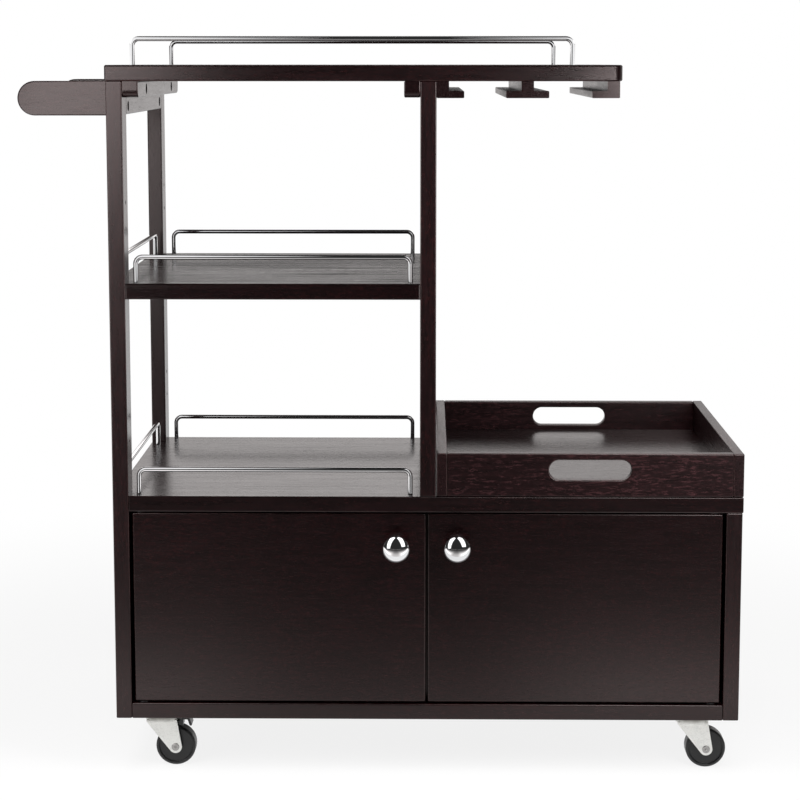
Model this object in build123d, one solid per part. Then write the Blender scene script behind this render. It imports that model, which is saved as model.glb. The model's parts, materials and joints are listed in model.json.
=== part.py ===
import os

from build123d import *

# A wooden bar cart on casters. Sizes are in millimetres. While it is built, x runs right
# from the outer face of the left posts, y runs back from the front plane and z runs up
# from the floor. The finished pieces are shifted so that the origin is on the floor,
# under the middle of the whole cart.

# Boards
BOARD = 19.5
EDGE = 1.6
DEPTH = 400.0
FRAME_WIDTH = 773.0
POST_DEPTH = 36.5
CENTER_X = 377.5

# Clearances: a shaft in its bore, faces that move past each other, and hardware in wood
FIT = 0.05
RUN_GAP = 0.3
HOLE_GAP = 0.2

# Heights of the upper faces
CASTER_HEIGHT = 70.0
CABINET_TOP_Z = 352.0
MIDDLE_SHELF_Z = 614.5
TOP_Z = 877.5

# Top board, cleats and cross rails
TOP_OVERHANG = 1.5
TOP_RIGHT = 619.5
TOP_CORNER_R = 10.0
TOP_LEFT_CORNER_R = 3.0
TOP_EDGE = 2.2
CLEAT = 19.5
CLEAT_SETBACK = 4.0
CLEAT_CORNER_R = 9.0
CROSS_RAIL_HEIGHT = 40.5

# Push handle
ARM_REACH = 114.5
ARM_THICKNESS = 22.0
ARM_HEIGHT = 42.0
ARM_INSET = 53.5
GRIP_R = 12.5
TENON_R = 8.0
TENON_LENGTH = 12.0

# Wire guard rails
WIRE_R = 3.0
RAIL_HEIGHT = 34.2
RAIL_BEND_R = 8.0
RAIL_SOCKET = 10.0
RAIL_INSET = 12.0
RAIL_LEFT = 31.5
SHELF_RAIL_RIGHT = 365.5
TOP_RAIL_RIGHT = 559.5
SIDE_RAIL_END = 61.0

# Glass racks
RACK_HEIGHT = 20.0
RACK_FLANGE = 8.5
RACK_STEM = 14.8
RACK_EDGE = 1.2
L_RACK_WIDTH = 33.0
T_RACK_WIDTH = 51.4
T_RACK_X = 505.8
RACK_RIGHT = 616.0

# Serving tray
TRAY_GAP = 1.2
TRAY_SETBACK = 1.0
TRAY_HEIGHT = 53.7
TRAY_WALL = 12.7
TRAY_FLOOR_Z = 366.5
TRAY_BASE = 6.0
TRAY_GROOVE = 5.0
HAND_HOLE_LENGTH = 101.0
HAND_HOLE_HEIGHT = 25.0
HAND_HOLE_Z = 385.5

# Cabinet and doors
CABINET_OVERHANG = 1.0
SIDE_PANEL_SETBACK = 2.0
BACK_PANEL = 5.0
PARTITION_SETBACK = 22.0
DOOR = 16.0
DOOR_RECESS = 3.0
DOOR_EDGE = 2.0
DOOR_SIDE_GAP = 4.0
DOOR_END_GAP = 2.0
DOOR_MIDDLE_GAP = 2.7
DOOR_MIDDLE_X = 386.05
PIVOT_INSET = 10.0
PIVOT_R = 3.0
PIVOT_DEPTH = 20.0
PIVOT_LENGTH = 8.5
BUSH_R = 5.0
BUSH_FLANGE_R = 7.0
BUSH_FLANGE = 1.5
BUSH_END_PLAY = 0.5
CATCH_SIZE = (30.0, 18.0, 12.0)
CATCH_INSET = 75.0
STRIKE_SIZE = (22.0, 1.2, 10.0)
STRIKE_GAP = 0.6

# Knobs
KNOB_R = 16.0
KNOB_REACH = 34.0
KNOB_DOME = 7.4
KNOB_RIM = 2.2
KNOB_RIM_ROUND = 1.0
KNOB_NECK_R = 5.0
KNOB_BASE_R = 7.5
KNOB_BASE = 2.0
KNOB_INSET = 36.0
KNOB_DROP = 39.0
KNOB_SCREW_R = 2.0
KNOB_SCREW_LENGTH = 27.0
PAN_HEAD_R = 4.2
PAN_HEAD = 2.2

# Bolts, screws, dowels and peg holes
BOLT_R = 3.0
BOLT_LENGTH = 45.0
CLEAT_BOLT_LENGTH = 28.0
BOLT_HEAD_R = 5.4
BOLT_HEAD = 4.5
BOLT_SOCKET_R = 2.6
BOLT_SOCKET = 2.5
COUNTERBORE_R = 6.5
COUNTERBORE = 8.0
HANDLE_BOLT_Z = 827.5
CLEAT_BOLT_INSET = 77.0
POST_BOLT_INSET = 28.0
SCREW_R = 1.8
SCREW_HEAD_R = 3.8
SCREW_LENGTH = 30.0
SCREW_SHARES = (0.1, 0.5, 0.9)
DOWEL_R = 4.0
DOWEL_LENGTH = 30.0
HANDLE_DOWEL_DROP = 10.0
PANEL_DOWEL_SHARES = (0.3, 0.7)
PEG_HOLE_R = 2.5
PEG_HOLE_DEPTH = 10.0
PEG_HOLE_RISES = (65.0, 97.0)

# Casters
CASTER_INSET_X = 53.0
CASTER_INSET_Y = 39.0
TRAIL = 17.0
PLATE_SIZE = (60.0, 48.0, 2.5)
PLATE_CORNER_R = 6.0
PLATE_HOLES = (23.0, 17.0)
CASTER_SCREW_R = 2.2
CASTER_SCREW_LENGTH = 16.0
RACE_R = 17.0
RACE_DEPTH = 6.4
KINGPIN_R = 3.95
KINGPIN_HEAD_R = 7.0
KINGPIN_HEAD = 2.6
FORK_TOP_Z = 60.0
FORK_SHEET = 2.4
FORK_HALF_WIDTH = 14.6
FORK_HALF_LENGTH = 19.0
FORK_FOOT_R = 8.0
CUP_R = 21.5
CUP_RISE = 6.7
CUP_WALL = 2.2
CUP_ROUND = 2.0
WHEEL_R = 25.0
WHEEL_WIDTH = 20.0
HUB_WIDTH = 22.0
HUB_R = 8.0
TREAD_ROUND = 3.0
RIM_R = 21.0
RIM_ROUND = 0.7
DISC_RECESS = 2.5
AXLE_R = 3.0
AXLE_HEAD_R = 4.8
AXLE_HEAD = 1.6
AXLE_HEAD_ROUND = 1.0
AXLE_DIMPLE_R = 2.0

# Brake levers of the left casters, placed from the kingpin
LEVER_PIVOT = (14.0, 54.2)
LEVER_PIN_R = 1.6
LEVER_PIN_BITE = 1.6
LEVER_BOSS_R = 2.8
LEVER_WIDTH = 18.0
LEVER_TOP_Z = 62.3
LEVER_STEP_X = 22.7
LEVER_CREST_X = (24.3, 33.8)
LEVER_SHOE_END_X = 25.0
LEVER_TIP = (38.0, 51.0)
LEVER_TAB = 3.4
LEVER_ROUND = 1.2
SHOE_GAP = 2.2

# Levels and places that follow from the sizes above
TOP_UNDER = TOP_Z - BOARD
CABINET_UNDER = CABINET_TOP_Z - BOARD
MIDDLE_SHELF_UNDER = MIDDLE_SHELF_Z - BOARD
BOTTOM_Z = CASTER_HEIGHT + BOARD
CENTER_RIGHT = CENTER_X + BOARD
CENTER_POST_X = CENTER_X + BOARD / 2
REAR_POST_Y = DEPTH - POST_DEPTH
RIGHT_PANEL_X = FRAME_WIDTH - BOARD
CABINET_RIGHT = FRAME_WIDTH + CABINET_OVERHANG
POST_MIDDLES = (POST_DEPTH / 2, DEPTH - POST_DEPTH / 2)
CROSS_RAIL_UNDER = TOP_UNDER - CROSS_RAIL_HEIGHT
CLEAT_UNDER = TOP_UNDER - CLEAT
ARM_UNDER = TOP_UNDER - ARM_HEIGHT
ARM_MIDDLES = (ARM_INSET, DEPTH - ARM_INSET)
GRIP_X = ARM_HEIGHT / 2 - ARM_REACH
GRIP_Z = TOP_UNDER - ARM_HEIGHT / 2
RACK_UNDER = TOP_UNDER - RACK_HEIGHT
TRAY_LEFT = CENTER_RIGHT + TRAY_GAP
TRAY_UNDER = CABINET_TOP_Z + RUN_GAP
TRAY_TOP = TRAY_UNDER + TRAY_HEIGHT
DOOR_Z = (BOTTOM_Z + DOOR_END_GAP, CABINET_UNDER - DOOR_END_GAP)
DOOR_Y = (DOOR_RECESS, DOOR_RECESS + DOOR)
PIVOT_Y = DOOR_RECESS + DOOR / 2
AXLE_Z = WHEEL_R
LEVER_PIN_REACH = FORK_HALF_WIDTH - FORK_SHEET + LEVER_PIN_BITE
X_MIDDLE = (CABINET_RIGHT - ARM_REACH) / 2
Y_MIDDLE = (DEPTH + DOOR_RECESS - KNOB_REACH) / 2

UPRIGHT = (Align.CENTER, Align.CENTER, Align.MIN)


def box(x, y, z):
    """A sharp block between the low and high values along each axis."""
    size = (x[1] - x[0], y[1] - y[0], z[1] - z[0])
    return Pos(x[0], y[0], z[0]) * Box(*size, align=Align.MIN)


def board(x, y, z, edge=EDGE):
    """A block of wood with every edge eased."""
    wood = box(x, y, z)
    return fillet(wood.edges(), edge)


def rod(start, end, radius):
    """A round bar between two points."""
    run = Vector(*end) - Vector(*start)
    return Plane(origin=start, z_dir=run) * Cylinder(radius, run.length, align=UPRIGHT)


def prism(section, y0, y1):
    """A section drawn in x and z, run from y0 back to y1."""
    back = Plane(origin=(0, y1, 0), x_dir=(1, 0, 0), z_dir=(0, -1, 0))
    return extrude(back * section, amount=y1 - y0)


def along(point, aim, distance):
    """The point at a distance from another one, in the direction of aim."""
    return Vector(*point) + Vector(*aim) * distance


def cut(piece, holes):
    """The piece without those holes that meet it."""
    reach = piece.bounding_box()
    for hole in holes:
        if reach.overlaps(hole.bounding_box()):
            piece -= hole
    return piece


def eased_sides(piece, edge):
    """Eases the edges of the faces that are furthest to the front, back, left and right."""
    by_y = piece.faces().filter_by(Axis.Y).sort_by(Axis.Y)
    by_x = piece.faces().filter_by(Axis.X).sort_by(Axis.X)
    outer = [by_y[0], by_y[-1], by_x[0], by_x[-1]]
    return fillet([rim for face in outer for rim in face.edges()], edge)


def guard_rail(start, end, surface_z):
    """A bent wire with two legs let into a board, and the sockets for the legs."""
    foot_z = surface_z - RAIL_SOCKET
    wire_z = surface_z + RAIL_HEIGHT - WIRE_R
    corners = [(*start, foot_z), (*start, wire_z), (*end, wire_z), (*end, foot_z)]
    path = FilletPolyline(*corners, radius=RAIL_BEND_R)
    wire = sweep(Plane(origin=path @ 0, z_dir=path % 0) * Circle(WIRE_R), path=path)
    sockets = [rod((*leg, foot_z), (*leg, surface_z), WIRE_R + HOLE_GAP) for leg in (start, end)]
    return wire, sockets


def shelf_rails(surface_z):
    """The guard rails around a shelf between the left and the center posts."""
    side_x = RAIL_INSET
    runs = [((RAIL_LEFT, y), (SHELF_RAIL_RIGHT, y)) for y in (RAIL_INSET, DEPTH - RAIL_INSET)]
    for x in (side_x, CENTER_RIGHT - side_x):
        runs.append(((x, SIDE_RAIL_END), (x, DEPTH - SIDE_RAIL_END)))
    return [guard_rail(start, end, surface_z) for start, end in runs]


def bolt(mouth, aim, length=BOLT_LENGTH):
    """A socket head bolt sunk below the surface at its mouth, and its counterbored hole."""
    seat = along(mouth, aim, COUNTERBORE)
    head_end = along(seat, aim, -BOLT_HEAD)
    tip = along(seat, aim, length)
    socket = extrude(Plane(origin=head_end, z_dir=aim) * RegularPolygon(BOLT_SOCKET_R, 6), BOLT_SOCKET)
    solid = rod(head_end, seat, BOLT_HEAD_R) + rod(seat, tip, BOLT_R) - socket
    hole = rod(mouth, seat, COUNTERBORE_R) + rod(seat, tip, BOLT_R + HOLE_GAP)
    return solid, hole


def top_screw(x, y, under):
    """A countersunk screw up into the top board, and its hole."""
    tip = (x, y, under + SCREW_LENGTH)
    sink = SCREW_HEAD_R - SCREW_R
    head = Pos(x, y, under) * Cone(SCREW_HEAD_R, SCREW_R, sink, align=UPRIGHT)
    solid = head + rod((x, y, under + sink), tip, SCREW_R)
    return solid, head + rod((x, y, under), tip, SCREW_R + HOLE_GAP)


def dowel(middle, aim):
    """A dowel pin centered on a joint, and its hole."""
    start = along(middle, aim, -DOWEL_LENGTH / 2)
    end = along(middle, aim, DOWEL_LENGTH / 2)
    return rod(start, end, DOWEL_R), rod(start, end, DOWEL_R + FIT)


def frame_bolts():
    """Bolts of the posts, the bottom, the handle arms and the cleats."""
    right, left = (1, 0, 0), (-1, 0, 0)
    bolts = []
    for y in (POST_BOLT_INSET, DEPTH - POST_BOLT_INSET):
        for under in (CASTER_HEIGHT, CABINET_UNDER, MIDDLE_SHELF_UNDER):
            bolts.append(bolt((0, y, under + BOARD / 2), right))
        bolts.append(bolt((CENTER_RIGHT, y, MIDDLE_SHELF_UNDER + BOARD / 2), left))
        bolts.append(bolt((FRAME_WIDTH, y, CASTER_HEIGHT + BOARD / 2), left))
    for y in ARM_MIDDLES:
        bolts.append(bolt((BOARD, y, HANDLE_BOLT_Z), left))
    for y in (CLEAT_BOLT_INSET, DEPTH - CLEAT_BOLT_INSET):
        z = CLEAT_UNDER + CLEAT / 2
        bolts.append(bolt((BOARD + CLEAT, y, z), left, CLEAT_BOLT_LENGTH))
        bolts.append(bolt((CENTER_X - CLEAT, y, z), right, CLEAT_BOLT_LENGTH))
    return bolts


def dowel_pins():
    """Dowels of the cross rails, the handle arms, the side panels and the center posts."""
    across, back, up = (1, 0, 0), (0, 1, 0), (0, 0, 1)
    pins = []
    for y in (POST_DEPTH, REAR_POST_Y):
        for x in (BOARD / 2, CENTER_POST_X):
            pins.append(dowel((x, y, CROSS_RAIL_UNDER + CROSS_RAIL_HEIGHT / 2), back))
        for share in PANEL_DOWEL_SHARES:
            z = CASTER_HEIGHT + share * (CABINET_UNDER - CASTER_HEIGHT)
            pins.append(dowel(((SIDE_PANEL_SETBACK + BOARD) / 2, y, z), back))
    for y in ARM_MIDDLES:
        pins.append(dowel((0, y, TOP_UNDER - HANDLE_DOWEL_DROP), across))
    for y in POST_MIDDLES:
        pins.append(dowel((CENTER_POST_X, y, CABINET_TOP_Z), up))
        pins.append(dowel((RIGHT_PANEL_X + BOARD / 2, y, CABINET_UNDER), up))
    return pins


def top_screws():
    """Screws of the cleats and the glass racks, in rows from front to back."""
    cleat_rows = (BOARD + CLEAT / 2, CENTER_X - CLEAT / 2)
    rack_rows = (CENTER_RIGHT + RACK_STEM / 2, T_RACK_X, RACK_RIGHT - RACK_STEM / 2)
    screws = []
    for share in SCREW_SHARES:
        for x in cleat_rows:
            screws.append(top_screw(x, share * DEPTH, CLEAT_UNDER))
        for x in rack_rows:
            screws.append(top_screw(x, share * DEPTH, RACK_UNDER))
    return screws


def top_board():
    """The top board, with larger round corners at its free right end."""
    wood = box((-TOP_OVERHANG, TOP_RIGHT), (0, DEPTH), (TOP_UNDER, TOP_Z))
    corners = wood.edges().filter_by(Axis.Z).sort_by(Axis.X)
    wood = fillet(corners[:2], TOP_LEFT_CORNER_R)
    corners = wood.edges().filter_by(Axis.Z).sort_by(Axis.X)
    wood = fillet(corners[-2:], TOP_CORNER_R)
    flats = wood.faces().filter_by(Axis.Z)
    return fillet([rim for face in flats for rim in face.edges()], TOP_EDGE)


def cleat(x0):
    """A square batten under the top board with rounded lower ends."""
    wood = box((x0, x0 + CLEAT), (0, DEPTH - CLEAT_SETBACK), (CLEAT_UNDER, TOP_UNDER))
    ends = wood.faces().sort_by(Axis.Z)[0].edges().filter_by(Axis.X)
    wood = fillet(ends, CLEAT_CORNER_R)
    sides = wood.faces().sort_by(Axis.X)
    return fillet(sides[0].edges() + sides[-1].edges(), EDGE)


def posts():
    """The four posts; the left ones have peg holes above each shelf."""
    peg_holes = []
    for y in POST_MIDDLES:
        for surface_z in (CABINET_TOP_Z, MIDDLE_SHELF_Z):
            for rise in PEG_HOLE_RISES:
                z = surface_z + rise
                peg_holes.append(rod((BOARD - PEG_HOLE_DEPTH, y, z), (BOARD, y, z), PEG_HOLE_R))
    front, rear = (0, POST_DEPTH), (REAR_POST_Y, DEPTH)
    left_x, center_x = (0, BOARD), (CENTER_X, CENTER_RIGHT)
    left_z, center_z = (CASTER_HEIGHT, TOP_UNDER), (CABINET_TOP_Z, TOP_UNDER)
    return {
        "left_front_post": cut(board(left_x, front, left_z), peg_holes),
        "left_rear_post": cut(board(left_x, rear, left_z), peg_holes),
        "center_front_post": board(center_x, front, center_z),
        "center_rear_post": board(center_x, rear, center_z),
    }


def handle():
    """Two arms with round ends and a round grip between them."""
    outline = Pos(GRIP_X / 2, GRIP_Z) * Rectangle(-GRIP_X, ARM_HEIGHT)
    outline += Pos(GRIP_X, GRIP_Z) * Circle(ARM_HEIGHT / 2)
    arms = {}
    grip_ends = []
    for name, y, inward in (("front", ARM_MIDDLES[0], 1), ("rear", ARM_MIDDLES[1], -1)):
        half = ARM_THICKNESS / 2
        arm = prism(outline, y - half, y + half)
        arm = fillet(arm.faces().filter_by(Axis.Y).edges(), EDGE)
        inner = y + inward * half
        seat = inner - inward * TENON_LENGTH
        arm -= rod((GRIP_X, seat, GRIP_Z), (GRIP_X, inner, GRIP_Z), TENON_R + FIT)
        arms["handle_arm_" + name] = arm
        grip_ends.append((inner, seat))
    (front, front_seat), (rear, rear_seat) = grip_ends
    grip = rod((GRIP_X, front, GRIP_Z), (GRIP_X, rear, GRIP_Z), GRIP_R)
    grip += rod((GRIP_X, front_seat, GRIP_Z), (GRIP_X, rear_seat, GRIP_Z), TENON_R)
    return {**arms, "handle_grip": grip}


def middle_shelf():
    """A shelf that fills the spaces between the posts at both of its ends."""
    z = (MIDDLE_SHELF_UNDER, MIDDLE_SHELF_Z)
    wood = box((BOARD, CENTER_X), (0, DEPTH), z)
    wood += box((0, CENTER_RIGHT), (POST_DEPTH, REAR_POST_Y), z)
    return eased_sides(wood, EDGE)


def cabinet_top():
    """The cabinet's top, notched around the left posts."""
    z = (CABINET_UNDER, CABINET_TOP_Z)
    wood = box((BOARD, CABINET_RIGHT), (0, DEPTH), z)
    wood += box((0, BOARD), (POST_DEPTH, REAR_POST_Y), z)
    return eased_sides(wood, EDGE)


def glass_rack(stem_x, flange_x, width):
    """A stem under the top board on a flat flange, given by the middles of the two."""
    flange_z = RACK_UNDER + RACK_FLANGE / 2
    section = Pos(flange_x, flange_z) * RectangleRounded(width, RACK_FLANGE, RACK_EDGE)
    section += Pos(stem_x, (flange_z + TOP_UNDER) / 2) * Rectangle(RACK_STEM, TOP_UNDER - flange_z)
    return prism(section, 0, DEPTH - CLEAT_SETBACK)


def glass_racks():
    """An L, a T and an L section; glasses hang by their feet between the flanges."""
    half_l, half_stem = L_RACK_WIDTH / 2, RACK_STEM / 2
    return {
        "glass_rack_left": glass_rack(CENTER_RIGHT + half_stem, CENTER_RIGHT + half_l, L_RACK_WIDTH),
        "glass_rack_center": glass_rack(T_RACK_X, T_RACK_X, T_RACK_WIDTH),
        "glass_rack_right": glass_rack(RACK_RIGHT - half_stem, RACK_RIGHT - half_l, L_RACK_WIDTH),
    }


def tray():
    """Four walls around a base that sits in grooves; hand holes front and back."""
    x = (TRAY_LEFT, CABINET_RIGHT)
    y = (TRAY_SETBACK, DEPTH - TRAY_SETBACK)
    z = (TRAY_UNDER, TRAY_TOP)
    inner_x = (x[0] + TRAY_WALL, x[1] - TRAY_WALL)
    inner_y = (y[0] + TRAY_WALL, y[1] - TRAY_WALL)
    base = box(
        (inner_x[0] - TRAY_GROOVE, inner_x[1] + TRAY_GROOVE),
        (inner_y[0] - TRAY_GROOVE, inner_y[1] + TRAY_GROOVE),
        (TRAY_FLOOR_Z - TRAY_BASE, TRAY_FLOOR_Z),
    )
    straight = HAND_HOLE_LENGTH - HAND_HOLE_HEIGHT
    hole = Pos(sum(x) / 2, HAND_HOLE_Z) * SlotCenterToCenter(straight, HAND_HOLE_HEIGHT)

    def end_wall(wall_y):
        wood = board(inner_x, wall_y, z) - prism(hole, *wall_y)
        rims = [wire for face in wood.faces().filter_by(Axis.Y) for wire in face.inner_wires()]
        return fillet([rim for wire in rims for rim in wire.edges()], EDGE) - base

    return {
        "tray_base": base,
        "tray_left_wall": board((x[0], inner_x[0]), y, z) - base,
        "tray_right_wall": board((inner_x[1], x[1]), y, z) - base,
        "tray_front_wall": end_wall((y[0], inner_y[0])),
        "tray_rear_wall": end_wall((inner_y[1], y[1])),
    }


def cabinet():
    """Sides, bottom, partition and back of the cabinet."""
    inside_z = (BOTTOM_Z, CABINET_UNDER)
    back_y = DEPTH - BACK_PANEL
    side_x = (SIDE_PANEL_SETBACK, BOARD)
    full_z = (CASTER_HEIGHT, CABINET_UNDER)
    return {
        "left_side_panel": box(side_x, (POST_DEPTH, REAR_POST_Y), full_z),
        "right_side_panel": board((RIGHT_PANEL_X, FRAME_WIDTH), (0, DEPTH), full_z),
        "cabinet_bottom": board((BOARD, RIGHT_PANEL_X), (0, DEPTH), (CASTER_HEIGHT, BOTTOM_Z)),
        "center_partition": box((CENTER_X, CENTER_RIGHT), (PARTITION_SETBACK, back_y), inside_z),
        "back_panel": box((BOARD, RIGHT_PANEL_X), (back_y, DEPTH), inside_z),
    }


def door_pivots(x):
    """Pivot pins at the door's ends, their holes, and the bushes and bush holes they turn in."""
    pins, pin_holes, bushes, bush_holes = [], [], [], []

    def bar(z0, z1, radius):
        return rod((x, PIVOT_Y, z0), (x, PIVOT_Y, z1), radius)

    for door_end, wood_face, up in ((DOOR_Z[1], CABINET_UNDER, 1), (DOOR_Z[0], BOTTOM_Z, -1)):
        root, tip = door_end - up * PIVOT_DEPTH, door_end + up * PIVOT_LENGTH
        pins.append(bar(root, tip, PIVOT_R))
        pin_holes.append(bar(root, door_end, PIVOT_R + FIT))
        bore_end = tip + up * BUSH_END_PLAY
        bush_end = bore_end + up * BUSH_FLANGE
        flange_face = wood_face - up * BUSH_FLANGE
        bush = bar(flange_face, wood_face, BUSH_FLANGE_R) + bar(wood_face, bush_end, BUSH_R)
        bushes.append(bush - bar(flange_face, bore_end, PIVOT_R + FIT))
        bush_holes.append(bar(wood_face, bush_end, BUSH_R + FIT))
    return pins, pin_holes, bushes, bush_holes


def knob_section():
    """Half of a knob's outline: the radius against the distance from the door."""
    rim = KNOB_REACH - KNOB_DOME
    cove_end = rim - KNOB_RIM
    cove_start = cove_end - (KNOB_R - KNOB_NECK_R)
    outline = [
        Polyline(
            (0, KNOB_REACH), (0, 0), (KNOB_BASE_R, 0), (KNOB_BASE_R, KNOB_BASE),
            (KNOB_NECK_R, KNOB_BASE), (KNOB_NECK_R, cove_start),
        ),
        TangentArc((KNOB_NECK_R, cove_start), (KNOB_R, cove_end), tangent=(0, 1)),
        Line((KNOB_R, cove_end), (KNOB_R, rim)),
        TangentArc((0, KNOB_REACH), (KNOB_R, rim), tangent=(1, 0)),
    ]
    section = make_face(outline)
    rim_corners = section.vertices().filter_by(lambda corner: corner.X > KNOB_R - FIT)
    return fillet(rim_corners, KNOB_RIM_ROUND)


def knob(x):
    """A knob with a domed cap on a coved neck, the screw from behind the door, and its hole."""
    front, behind = DOOR_Y
    z = DOOR_Z[1] - KNOB_DROP
    screw_tip = behind - KNOB_SCREW_LENGTH

    def bar(y0, y1, radius):
        return rod((x, y0, z), (x, y1, z), radius)

    turned = Pos(x, front, z) * Rot(0, 0, 180) * revolve(knob_section(), Axis.Y)
    turned -= bar(front, screw_tip, KNOB_SCREW_R + FIT)
    screw = bar(behind, screw_tip, KNOB_SCREW_R) + bar(behind, behind + PAN_HEAD, PAN_HEAD_R)
    return turned, screw, bar(front, behind, KNOB_SCREW_R + HOLE_GAP)


def strike_and_catch(x):
    """A strike plate behind the door's upper edge, and the magnetic catch it meets."""
    half_strike, half_catch = STRIKE_SIZE[0] / 2, CATCH_SIZE[0] / 2
    strike_top = DOOR_Z[1] - DOOR_EDGE
    strike_y = (DOOR_Y[1], DOOR_Y[1] + STRIKE_SIZE[1])
    strike = box((x - half_strike, x + half_strike), strike_y, (strike_top - STRIKE_SIZE[2], strike_top))
    catch_y = strike_y[1] + STRIKE_GAP
    catch = board(
        (x - half_catch, x + half_catch),
        (catch_y, catch_y + CATCH_SIZE[1]),
        (CABINET_UNDER - CATCH_SIZE[2], CABINET_UNDER),
    )
    return strike, catch


def door_fittings(side, hinge_x, free_x):
    """A door with its knob, pivot pins and strike plate, and the bushes and catch it meets."""
    inward = 1 if free_x > hinge_x else -1
    pins, pin_holes, bushes, bush_holes = door_pivots(hinge_x + inward * PIVOT_INSET)
    turned, screw, screw_hole = knob(free_x - inward * KNOB_INSET)
    strike, catch = strike_and_catch(free_x - inward * CATCH_INSET)
    door = cut(board(sorted((hinge_x, free_x)), DOOR_Y, DOOR_Z, DOOR_EDGE), [*pin_holes, screw_hole])
    pieces = {
        side + "_door": [door],
        side + "_knob": [turned, screw],
        side + "_hinge_pins": pins,
        side + "_strike_plate": [strike],
    }
    return pieces, bushes, bush_holes, catch


def caster_plate(x, y):
    """A top plate with a pressed race below it, its kingpin and its four screws."""
    length, width, sheet = PLATE_SIZE
    under = CASTER_HEIGHT - sheet
    outline = RectangleRounded(length, width, PLATE_CORNER_R)
    hole_spots = [(sx * PLATE_HOLES[0], sy * PLATE_HOLES[1]) for sx in (-1, 1) for sy in (-1, 1)]
    plate = extrude(Pos(x, y, under) * outline, sheet)
    plate += rod((x, y, under - RACE_DEPTH), (x, y, under), RACE_R)
    plate -= rod((x, y, under - RACE_DEPTH), (x, y, CASTER_HEIGHT), KINGPIN_R + FIT)
    screws, pilot_holes = [], []
    for dx, dy in hole_spots:
        spot = (x + dx, y + dy)
        tip = under + CASTER_SCREW_LENGTH
        head = rod((*spot, under - PAN_HEAD), (*spot, under), PAN_HEAD_R)
        screws.append(head + rod((*spot, under), (*spot, tip), CASTER_SCREW_R))
        hole = rod((*spot, under), (*spot, tip), CASTER_SCREW_R + HOLE_GAP)
        plate -= hole
        pilot_holes.append(hole)
    fork_under = FORK_TOP_Z - FORK_SHEET
    head_top = fork_under - RUN_GAP
    kingpin = rod((x, y, head_top - KINGPIN_HEAD), (x, y, CASTER_HEIGHT), KINGPIN_R)
    kingpin += rod((x, y, head_top - KINGPIN_HEAD), (x, y, head_top), KINGPIN_HEAD_R)
    return plate, kingpin, screws, pilot_holes


def cross_rod(x, y, z, half, radius):
    """A round bar from front to back, centered on y."""
    return rod((x, y - half, z), (x, y + half, z), radius)


def fork(x, y, braked):
    """A pressed fork: a cup around the race above it and two cheeks down to the axle."""
    under = FORK_TOP_Z - FORK_SHEET
    cup_top = FORK_TOP_Z + CUP_RISE
    pressed = rod((x, y, under), (x, y, cup_top), CUP_R)
    pressed = fillet(pressed.edges().sort_by(Axis.Z)[0], CUP_ROUND)
    pressed -= rod((x, y, FORK_TOP_Z), (x, y, cup_top), CUP_R - CUP_WALL)
    shoulder = Pos(x, FORK_TOP_Z - FORK_SHEET / 2) * Rectangle(2 * FORK_HALF_LENGTH, FORK_SHEET)
    foot = Pos(x + TRAIL, AXLE_Z) * Circle(FORK_FOOT_R)
    cheek = make_hull(shoulder.edges() + foot.edges())
    for side in (-1, 1):
        faces_y = sorted((side * FORK_HALF_WIDTH, side * (FORK_HALF_WIDTH - FORK_SHEET)))
        pressed += prism(cheek, y + faces_y[0], y + faces_y[1])
    pressed -= rod((x, y, under), (x, y, FORK_TOP_Z), KINGPIN_R + FIT)
    pressed -= cross_rod(x + TRAIL, y, AXLE_Z, FORK_HALF_WIDTH, AXLE_R + FIT)
    if braked:
        pivot_x, pivot_z = x + LEVER_PIVOT[0], LEVER_PIVOT[1]
        pressed -= cross_rod(pivot_x, y, pivot_z, LEVER_PIN_REACH + FIT, LEVER_PIN_R + FIT)
    return pressed


def axle(x, y):
    """A riveted axle with a round, dimpled head outside each cheek."""
    end = FORK_HALF_WIDTH + AXLE_HEAD
    pin = cross_rod(x + TRAIL, y, AXLE_Z, end, AXLE_HEAD_R)
    rims = pin.edges().filter_by(GeomType.CIRCLE)
    pin = fillet(rims, AXLE_HEAD_ROUND)
    pin -= cross_rod(x + TRAIL, y, AXLE_Z, FORK_HALF_WIDTH, AXLE_HEAD_R)
    pin += cross_rod(x + TRAIL, y, AXLE_Z, FORK_HALF_WIDTH, AXLE_R)
    for side in (-1, 1):
        dimple_y = y + side * (end + AXLE_DIMPLE_R / 2)
        pin -= Pos(x + TRAIL, dimple_y, AXLE_Z) * Sphere(AXLE_DIMPLE_R)
    return pin


def wheel(x, y):
    """A solid wheel with a round tread, recessed discs and a hub."""
    half, half_hub = WHEEL_WIDTH / 2, HUB_WIDTH / 2
    disc = half - DISC_RECESS
    bore = AXLE_R + FIT
    half_profile = [
        (bore, half_hub), (HUB_R, half_hub), (HUB_R, disc), (RIM_R, disc), (RIM_R, half), (WHEEL_R, half),
    ]
    mirrored = [(radius, -offset) for radius, offset in reversed(half_profile)]
    section = make_face(Polyline(*half_profile, *mirrored, close=True))
    section = fillet(section.vertices().sort_by(Axis.X)[-2:], TREAD_ROUND)
    rim_corners = section.vertices().filter_by(lambda corner: abs(corner.X - RIM_R) < FIT)
    section = fillet(rim_corners, RIM_ROUND)
    return Pos(x + TRAIL, y, AXLE_Z) * revolve(section, Axis.Y)


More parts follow.
